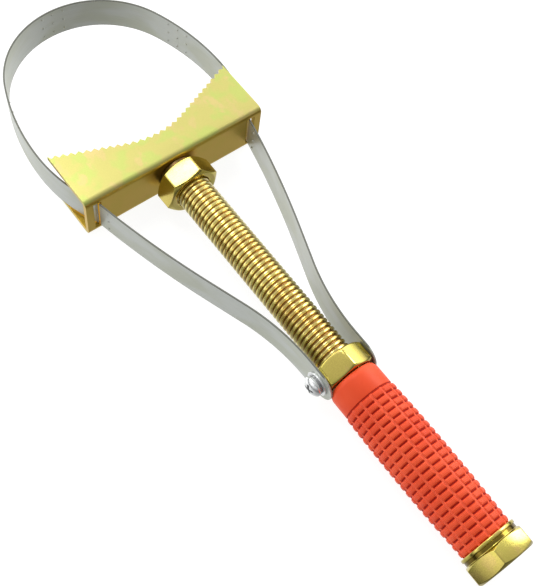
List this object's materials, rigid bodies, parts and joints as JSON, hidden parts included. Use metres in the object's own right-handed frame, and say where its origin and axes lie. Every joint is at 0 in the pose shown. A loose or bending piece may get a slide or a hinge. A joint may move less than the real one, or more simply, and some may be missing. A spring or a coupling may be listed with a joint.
{
  "type": "strap wrench",
  "caption": "Adjustable steel-band filter wrench: toothed channel saddle, band loop drawn in by a nut on a long screw, rubber grip with a hex end.",
  "frame": {"origin": "centre of the band loop's round end, at half the band's width", "axes": "+Z along the filter held in the loop, handle and adjusting screw along -Y, +X across the saddle"},
  "size_m": [0.1056, 0.3419, 0.0298],
  "materials": {
    "saddle_plating": "yellow passivated zinc",
    "band_steel": "rolled spring steel",
    "screw_plating": "yellow passivated zinc",
    "nut_plating": "yellow passivated zinc",
    "washer_steel": "dull dark steel",
    "fastener_zinc": "bright zinc",
    "grip_rubber": "moulded, satin"
  },
  "bodies": {
    "jaw": {"saddle": "saddle_plating", "band_loop": "band_steel"},
    "spindle": {"adjusting_screw": "screw_plating", "thrust_washer": "washer_steel", "retaining_washer": "nut_plating", "thrust_nut": "nut_plating", "grip": "grip_rubber", "grip_washer": "nut_plating"},
    "anchor": {"anchor_nut": "nut_plating", "band_leg_left": "band_steel", "band_leg_right": "band_steel", "band_screw": "fastener_zinc", "flat_washer": "fastener_zinc", "spring_washer": "fastener_zinc", "band_rivet": "fastener_zinc"}
  },
  "joints": [
    {"name": "spindle_turn", "type": "hinge", "parent": "jaw", "child": "spindle", "pos_m": [0, -0.0636, 0], "axis": [0, 1, 0], "range_deg": [-12960, 0]},
    {"name": "anchor_travel", "type": "slide", "parent": "jaw", "child": "anchor", "axis": [0, 1, 0], "range_m": [0, 0.0905], "deforming": ["band_leg_left", "band_leg_right"]}
  ],
  "couplings": [
    {"joint": "anchor_travel", "follows": "spindle_turn", "m_per_rad": -0.00039789}
  ]
}
